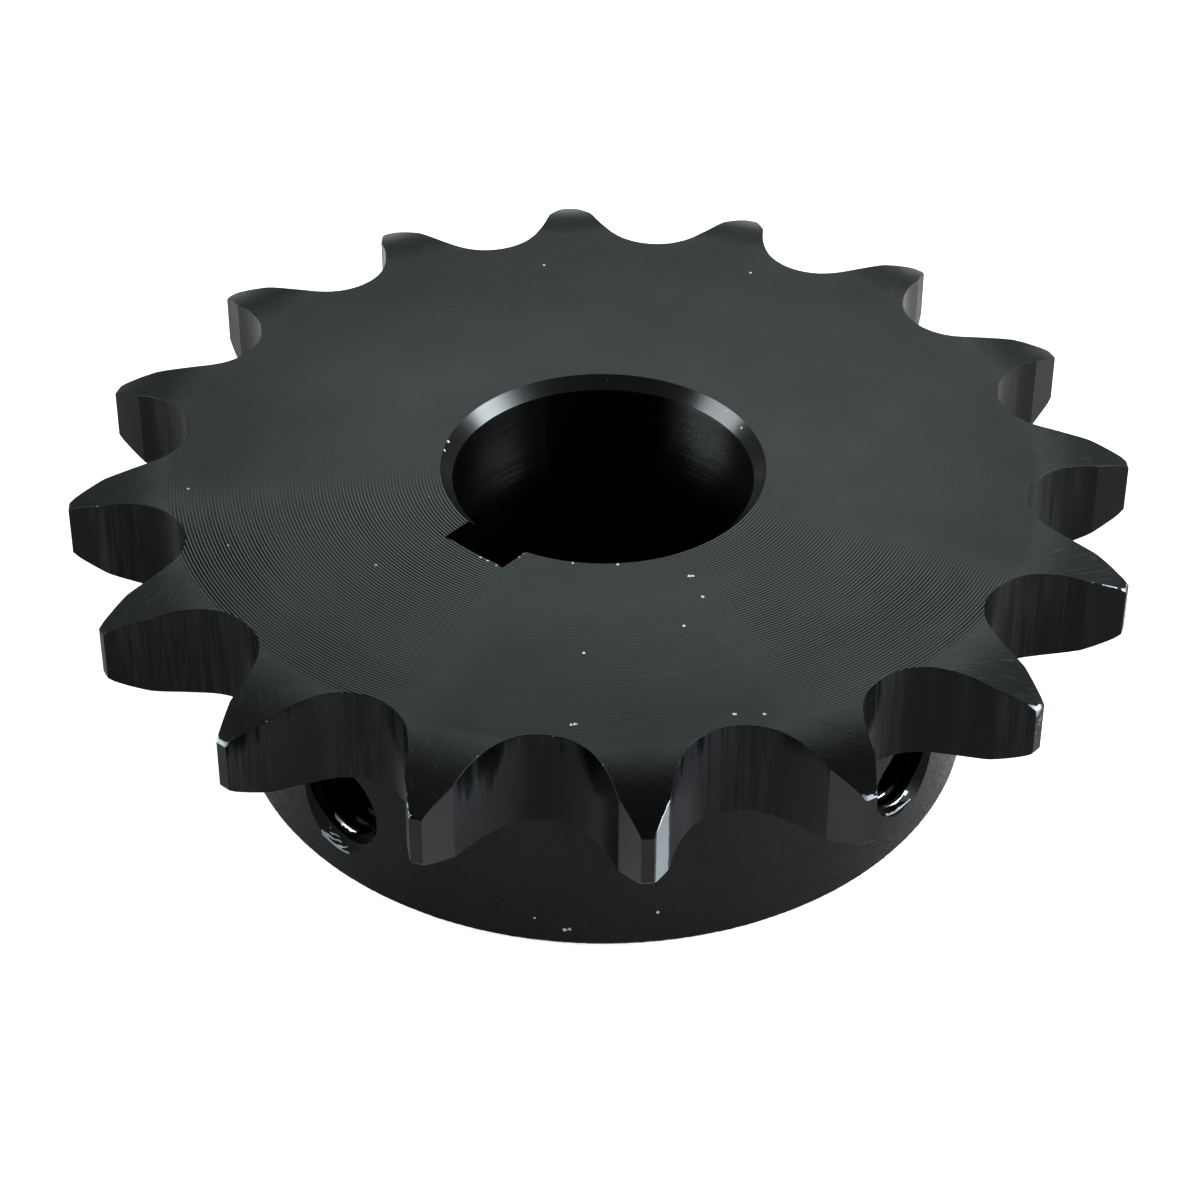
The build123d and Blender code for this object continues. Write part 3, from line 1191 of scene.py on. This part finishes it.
@dataclass(frozen=True)
class OxideSteel:
    """Black oxide on machined steel, with a little bare metal on worn edges and a few specks of dust.

    Feed and depth are the tool marks'. The tint varies by the share cloudy, and the pale marks, painted
    highlights and painted light among them, are lightened as many times as their factor says. Gloss and sheen
    are the strength and colour of what the oxide mirrors.
    """

    name: str
    marks: Marks
    roughness: float
    feed: float = 0.281 * MM
    depth: float = 0.006 * MM
    tint: tuple[float, float, float] = (0.0135, 0.0148, 0.0152)
    gloss: float = 0.3
    sheen: Colour = (0.88, 0.98, 1.0, 1.0)
    burnish: float = 1.2
    cloudy: float = 0.2
    grain: float = 0.2
    wear: float = -0.35
    dust: float = 0.05
    pits: float = 0.0
    bore_shade: float = 0.0
    frost: float = 0.0
    specks: tuple[Speck, ...] = ()

    def shaded(self, factor: float) -> Colour:
        """The oxide's colour made lighter or darker."""
        return (*(channel * factor for channel in self.tint), 1.0)

    def material(self, effects: Effects) -> bpy.types.Material:
        """Material of this finish: marked oxide, then bare steel, dust, stains and painted shade over it.

        Args:
            effects: The shared node groups.

        Returns:
            The material.
        """
        made = bpy.data.materials.new(self.name)
        made.use_nodes = True
        made.node_tree.nodes.clear()
        sheet = Sheet(made.node_tree)
        position = sheet.add("TexCoord").outputs["Object"]
        marks = self.tool_marks(sheet, effects, position)
        height = marks.height
        oxide = sheet.group(effects.clouds, {"Position": position, "Grain": self.grain})
        near = sheet.add("Attribute", attribute_name="wear").outputs["Fac"]
        wearing = {"Position": position, "Nearness": near, "Amount": self.wear}
        worn = sheet.group(effects.wear, wearing)["Mask"]
        colour = sheet.mix(oxide["Cloud"], self.shaded(1 - self.cloudy), self.shaded(1 + self.cloudy))
        rough = sheet.scaled(oxide["Cloud"], -0.06, self.roughness + 0.03)
        rough = sheet.scaled(sheet.centred(oxide["Grain"]), 0.12, rough)
        if self.frost:
            rough = sheet.scaled(sheet.centred(oxide["Frost"]), self.frost, rough)
        # Pale tool marks lighten the colour: on the face they are painted highlights, on the front teeth's
        # walls painted light
        if marks.shade is not None:
            rough = sheet.scaled(sheet.centred(marks.shade), 0.14, rough)
            colour = sheet.mix(marks.shade, colour, self.shaded(self.burnish))
        # The relief of the teeth darker: a little all round, and painted shade on the sides at 36.6 and 60
        # degrees
        if marks.relief is not None:
            darkened = sheet.math("MULTIPLY", marks.relief, sheet.ramp(marks.shade, 0.0, 1.0, 1.0, 0.3))
            colour = sheet.mix(darkened, colour, self.shaded(0.5))
            rough = sheet.scaled(marks.relief, -0.09, rough)
        if self.pits:
            pits = {"Position": position, "Spacing": 0.9 * MM, "Size": 0.16 * MM, "Share": self.pits}
            pitted = sheet.group(effects.specks, pits)["Mask"]
            colour = sheet.mix(pitted, colour, PIT_BLACK)
            height = sheet.scaled(pitted, -0.02 * MM, height)
        colour = sheet.mix(worn, colour, BARE_STEEL)
        rough = sheet.scaled(worn, 0.1, rough)
        dust = self.dusting(sheet, effects, position)
        colour = sheet.mix(dust, colour, DUST_GREY)
        rough = sheet.math("ADD", rough, sheet.math("MULTIPLY", dust, 0.5), clamp=True)
        if marks.stain is not None:
            # Stains, and the painted shade of the face, the relief and the bore, are laid on as black metal,
            # which keeps the lights from shining in them.
            colour = sheet.mix(marks.stain, colour, STAIN_AND_SHADE_BLACK)
            worn = sheet.math("MAXIMUM", worn, marks.stain)
        metal = sheet.math("MULTIPLY", worn, sheet.math("SUBTRACT", 1.0, dust))
        height = sheet.scaled(oxide["Grain"], 0.0012 * MM, height)
        normal = sheet.add("Bump", {"Height": height, "Strength": 1.0, "Distance": 1.0}).outputs[0]
        inputs = {"Base Color": colour, "Roughness": rough, "Metallic": metal, "Normal": normal}
        inputs |= {"Specular IOR Level": self.gloss, "Specular Tint": self.sheen}
        surface = sheet.add("BsdfPrincipled", inputs)
        sheet.add("OutputMaterial", {"Surface": surface.outputs[0]})
        return made

    def dusting(self, sheet: Sheet, effects: Effects, position: Socket) -> Socket:
        """Where dust lies: scattered lint and the specks that have their own places.

        Args:
            sheet: The material's sheet.
            effects: The shared node groups.
            position: Place on the piece.

        Returns:
            The mask.
        """
        lint = {"Position": position, "Spacing": 3.2 * MM, "Size": 0.07 * MM, "Share": self.dust}
        dust = sheet.group(effects.specks, lint)["Mask"]
        for speck in self.specks:
            placed = {"Position": position, "Centre": speck.centre(), "Size": speck.half_width * MM}
            dust = sheet.math("MAXIMUM", dust, sheet.group(effects.speck, placed)["Mask"])
        return dust

    def tool_marks(self, sheet: Sheet, effects: Effects, position: Socket) -> MarkSockets:
        """Tool marks of this finish.

        Args:
            sheet: The material's sheet.
            effects: The shared node groups.
            position: Place on the piece.

        Returns:
            Their sockets.
        """
        if self.marks is Marks.SMOOTH:
            return MarkSockets()
        if self.marks is Marks.DRAWN:
            drawn = sheet.group(effects.streaks, {"Position": position, "Depth": self.depth})
            return MarkSockets(drawn["Height"], drawn["Shade"], None, drawn["Stain"])
        faced = self.marks is Marks.FACED
        rings = {"Position": position, "Feed": self.feed, "Depth": self.depth, "Wander": 0.35}
        rings["Across"] = sheet.radius(position) if faced else sheet.level(position)
        turned = sheet.group(effects.turning, rings)
        if faced:
            return self.faced_marks(sheet, effects, position, turned)
        if not self.bore_shade:
            return MarkSockets(turned["Height"])
        # Painted shade laid black in the bore: below 14 mm, fading out by 22.5 mm, and on the sides at 220 and
        # 310 degrees
        angle = sheet.angle(position)
        sides = sheet.math("MAXIMUM", sheet.on_side(angle, BORE_LEFT), sheet.on_side(angle, BORE_BACK))
        depths = sheet.ramp(sheet.level(position), 14 * MM, 22.5 * MM, self.bore_shade, 0.0)
        return MarkSockets(turned["Height"], stain=sheet.math("MAXIMUM", depths, sides))

    @staticmethod
    def faced_marks(sheet: Sheet, effects: Effects, position: Socket, turned: Outputs) -> MarkSockets:
        """Turning marks over the face, which give way to scratches where the teeth are relieved.

        Args:
            sheet: The material's sheet.
            effects: The shared node groups.
            position: Place on the piece.
            turned: Outputs of the turning marks.

        Returns:
            Their sockets.
        """
        radius, angle = sheet.radius(position), sheet.angle(position)
        relieved = sheet.ramp(radius, 36.0 * MM, 37.4 * MM)
        flat = sheet.math("SUBTRACT", 1.0, relieved)
        scratched = sheet.group(effects.scratches, {"Position": position, "Depth": 0.018 * MM})
        height = sheet.scaled(scratched["Height"], relieved, sheet.math("MULTIPLY", turned["Height"], flat))
        # Painted highlight on the ridges of the turning marks where they shine, and painted shade in their
        # valleys
        plain = sheet.math("MULTIPLY", turned["Burnish"], flat)
        ridges = sheet.math("MULTIPLY", turned["Ridge"], plain)
        valleys = sheet.math("MULTIPLY", sheet.ramp(turned["Ridge"], 0.0, 0.3, 1.3, 0.0), plain)
        # Painted shade: the face darker towards the rim, least on the side at 130.6 degrees
        painted_face_shade = sheet.ramp(radius, 17 * MM, 36 * MM)
        painted_face_shade = sheet.math("MULTIPLY", painted_face_shade, sheet.on_side(angle, PAINTED_SHADE_FACE))
        # The relief darker a little all round, with painted shade on the sides at 36.6 and 60 degrees
        dark = sheet.math("ADD", sheet.on_side(angle, DARK_RELIEF), sheet.on_side(angle, DARKER_RELIEF))
        relief = sheet.math("MULTIPLY", relieved, dark)
        stain = sheet.math("MAXIMUM", valleys, painted_face_shade)
        # Painted shade laid black on the relief by 60 degrees
        stain = sheet.scaled(relief, sheet.on_side(angle, PAINTED_SHADE_RELIEF), stain)
        # The relief's pale scratches, partly painted glints, made fainter on the side at 36.6 degrees
        shade = sheet.math("MULTIPLY", scratched["Shade"], sheet.on_side(angle, FAINT_SCRATCHES))
        return MarkSockets(height, sheet.scaled(shade, relief, ridges), relief, stain)


# Angle, radius and half the width of each speck on the plate's upper face
FACE_DUST = (
    (316.7, 34.7, 0.1), (331.2, 32.5, 0.1), (348.0, 23.1, 0.12), (45.6, 13.85, 0.11), (3.1, 16.3, 0.11),
    (5.7, 16.3, 0.1), (9.0, 16.4, 0.1), (12.5, 14.5, 0.12), (13.0, 14.0, 0.1), (30.4, 13.85, 0.09),
    (65.2, 16.8, 0.17), (65.9, 16.9, 0.12), (64.5, 19.7, 0.13), (57.0, 22.7, 0.12), (37.3, 25.3, 0.12),
    (57.8, 34.2, 0.14), (61.4, 34.9, 0.12), (37.1, 34.0, 0.15), (36.6, 34.1, 0.12), (230.5, 31.9, 0.12),
    (196.9, 33.1, 0.12),
)
FACE_SPECKS = tuple(Speck(angle, radius, 25.4, half_width) for angle, radius, half_width in FACE_DUST)
CHAMFER_SPECKS = (
    Speck(169.2, 13.5, 25.2, 0.12),
    Speck(158.1, 13.3, 25.0, 0.1),
    Speck(295.7, 13.6, 25.3, 0.14),
    Speck(301.3, 13.6, 25.3, 0.1),
)
HUB_SPECKS = (
    Speck(30.9, 31.75, 2.8, 0.1),
    Speck(35.3, 31.75, 1.8, 0.16),
    Speck(36.0, 31.75, 1.9, 0.12),
    Speck(48.9, 31.75, 3.6, 0.14),
)

FACE_TINT = (0.0115, 0.0136, 0.0138)
HUB_TINT = (0.005, 0.0054, 0.0056)
MILLED_TINT = (0.003, 0.0033, 0.0038)
HOBBED_TINT = (0.002, 0.0022, 0.0026)
FACET_TINT = (0.006, 0.0064, 0.007)
CHAMFER_TINT = (0.002, 0.002, 0.003)
EDGE_TINT = (0.003, 0.003, 0.003)
COUNTERSINK_TINT = (0.007, 0.007, 0.007)
BORE_TINT = (0.0004, 0.0004, 0.0004)
KEYWAY_TINT = (0.0005, 0.0005, 0.0005)
THREAD_TINT = (0.0003, 0.0003, 0.0003)


def finishes() -> dict[Surface, OxideSteel]:
    """The finish of each surface.

    Returns:
        The finishes, by surface.
    """
    faced, turned, drawn, smooth = Marks.FACED, Marks.TURNED, Marks.DRAWN, Marks.SMOOTH
    line = 0.004 * MM
    face = OxideSteel(
        "faced_oxide", faced, 0.43, depth=0.014 * MM, tint=FACE_TINT, burnish=18.0, specks=FACE_SPECKS
    )
    chamfer = OxideSteel("chamfered_oxide", smooth, 0.2, gloss=0.62, tint=CHAMFER_TINT, specks=CHAMFER_SPECKS)
    bore = OxideSteel(
        "bored_oxide", turned, 0.3, feed=0.1 * MM, depth=0.032 * MM, gloss=0.6, bore_shade=0.95, tint=BORE_TINT
    )
    hub = OxideSteel(
        "turned_oxide",
        turned,
        0.31,
        feed=0.18 * MM,
        depth=0.001 * MM,
        gloss=0.18,
        tint=HUB_TINT,
        cloudy=0.5,
        grain=0.6,
        frost=0.26,
        specks=HUB_SPECKS,
    )
    facet = OxideSteel("milled_facet", drawn, 0.4, depth=line, gloss=0.12, tint=MILLED_TINT, burnish=6.0)
    flank = OxideSteel(
        "hobbed_oxide", drawn, 0.28, depth=line, pits=0.1, gloss=0.12, tint=HOBBED_TINT, burnish=8.0
    )
    return {
        Surface.FACE: face,
        Surface.EDGE: OxideSteel("broken_edge", smooth, 0.4, gloss=0.12, tint=EDGE_TINT, wear=-0.42),
        Surface.BORE_CHAMFER: chamfer,
        Surface.BORE: bore,
        Surface.KEYWAY: OxideSteel("broached_oxide", drawn, 0.35, depth=line, gloss=0.04, tint=KEYWAY_TINT),
        Surface.HUB_SIDE: hub,
        Surface.LAND: OxideSteel("rim_oxide", turned, 0.34, feed=0.2 * MM, depth=0.002 * MM, gloss=0.18),
        Surface.TIP_FACET: facet,
        Surface.POLISHED_FACET: OxideSteel("polished_facet", smooth, 0.4, gloss=0.39, tint=FACET_TINT),
        Surface.FLANK: flank,
        Surface.COUNTERSINK: OxideSteel("countersunk_oxide", smooth, 0.35, gloss=0.07, tint=COUNTERSINK_TINT),
        Surface.THREAD: OxideSteel("tapped_oxide", smooth, 0.2, gloss=0.02, tint=THREAD_TINT),
    }


@dataclass(frozen=True)
class Softbox:
    """Rectangular soft light that faces the sprocket.

    Its turn from the camera's right hand and its elevation are in degrees.
    """

    name: str
    turn: float
    elevation: float
    distance: float
    width: float
    height: float
    brightness: float

    def hang(self, right_hand: float, target: Vector) -> bpy.types.Object:
        """Makes the light.

        Args:
            right_hand: Direction of the camera's right hand, in radians from +X.
            target: What it faces.

        Returns:
            The light.
        """
        data = bpy.data.lights.new(self.name, "AREA")
        data.shape, data.size, data.size_y = "RECTANGLE", self.width, self.height
        data.energy = math.pi * self.width * self.height * self.brightness
        light = bpy.data.objects.new(self.name, data)
        elevation = math.radians(self.elevation)
        away = polar(math.cos(elevation), right_hand + math.radians(self.turn)).to_3d()
        away.z = math.sin(elevation)
        light.location = target + away * self.distance
        light.rotation_mode = "QUATERNION"
        light.rotation_quaternion = away.to_track_quat("Z", "Y")
        bpy.context.scene.collection.objects.link(light)
        return light


@dataclass(frozen=True)
class Studio:
    """White table, soft lights on both sides and a camera that looks down at the keyway's side."""

    turn: float = math.radians(130.6)
    focal_length: float = 101.69
    sensor_width: float = 36.0
    elevation: float = 0.6584557
    distance: float = 270.07 * MM
    roll: float = 0.0049804
    aim: tuple[float, float] = (-0.2203 * MM, -18.5055 * MM)
    face_height: float = 25.4 * MM
    softbox_height: float = 15 * MM
    table_reach: float = 3.0
    table_glow: float = 0.85
    softboxes: tuple[Softbox, ...] = (
        Softbox("right_softbox", -4, 28, 0.7, 0.42, 0.34, 15.0),
        Softbox("left_softbox", 178, 28, 0.7, 0.42, 0.34, 7.5),
        Softbox("back_panel", 90, 46, 1.1, 1.9, 0.62, 0.6),
        Softbox("back_window", 88, 40, 1.1, 0.6, 0.45, 1.3),
    )

    def camera(self) -> bpy.types.Object:
        """Camera at the object's three-quarter view.

        Returns:
            The camera, set as the scene's.
        """
        data = bpy.data.cameras.new("camera")
        data.lens, data.sensor_width = self.focal_length, self.sensor_width
        data.clip_start, data.clip_end = 0.01, 10.0
        camera = bpy.data.objects.new("camera", data)
        right = Vector((1.0, 0.0, 0.0))
        forward = Vector((0.0, math.cos(self.elevation), -math.sin(self.elevation)))
        up = right.cross(forward)
        tilted = right * math.cos(self.roll) + up * math.sin(self.roll)
        upright = up * math.cos(self.roll) - right * math.sin(self.roll)
        axes = Matrix((tilted, upright, -forward)).transposed().to_4x4()
        place = Vector((*self.aim, self.face_height)) - forward * self.distance
        turned = Matrix.Rotation(self.turn, 4, "Z")
        camera.matrix_world = turned @ Matrix.Translation(place) @ axes
        bpy.context.scene.collection.objects.link(camera)
        bpy.context.scene.camera = camera
        return camera

    def table(self) -> bpy.types.Object:
        """White table top, on which shadows stay faint.

        Returns:
            The table.
        """
        mesh = bpy.data.meshes.new("table")
        bm = bmesh.new()
        bmesh.ops.create_grid(bm, x_segments=1, y_segments=1, size=self.table_reach)
        bm.to_mesh(mesh)
        bm.free()
        table = bpy.data.objects.new("table", mesh)
        paint = bpy.data.materials.new("white_table")
        paint.use_nodes = True
        paint.node_tree.nodes.clear()
        sheet = Sheet(paint.node_tree)
        matt = sheet.add("BsdfDiffuse", {"Color": (0.82, 0.82, 0.82, 1.0)}).outputs[0]
        glow = sheet.add("Emission", {"Color": (1.0, 1.0, 1.0, 1.0), "Strength": self.table_glow}).outputs[0]
        lit = sheet.add("AddShader", {0: matt, 1: glow}).outputs[0]
        seen = sheet.add("LightPath").outputs["Is Camera Ray"]
        both = sheet.add("MixShader", {0: seen, 1: matt, 2: lit}).outputs[0]
        sheet.add("OutputMaterial", {"Surface": both})
        mesh.materials.append(paint)
        bpy.context.scene.collection.objects.link(table)
        return table

    def room(self) -> None:
        """Dim grey room, darkest overhead."""
        world = bpy.data.worlds.new("room")
        world.use_nodes = True
        world.node_tree.nodes.clear()
        sheet = Sheet(world.node_tree)
        up = sheet.level(sheet.add("TexCoord").outputs["Generated"])
        light = sheet.ramp(up, 0.1, 0.9, 0.16, 0.1)
        back = sheet.add("Background", {"Color": (0.97, 1.0, 1.0, 1.0), "Strength": light}).outputs[0]
        sheet.add("OutputWorld", {"Surface": back})
        bpy.context.scene.world = world

    def set_up(self) -> None:
        """Puts up the table, the room, the lights and the camera."""
        self.table()
        self.room()
        target = Vector((0.0, 0.0, self.softbox_height))
        for box in self.softboxes:
            box.hang(self.turn, target)
        self.camera()
        bpy.context.scene.view_settings.view_transform = "Standard"


def main() -> None:
    """Builds the sprocket and its studio, and reports each piece."""
    logging.basicConfig(level=logging.INFO, format="%(message)s")
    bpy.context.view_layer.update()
    piece = SprocketBody().build()
    effects = Effects()
    finish = finishes()
    for surface in Surface:
        piece.data.materials.append(finish[surface].material(effects))
    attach(piece, "root")
    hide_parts("sprocket")
    LOG.info("%s rides on root", piece.name)
    Studio().set_up()


if __name__ == "__main__":
    main()
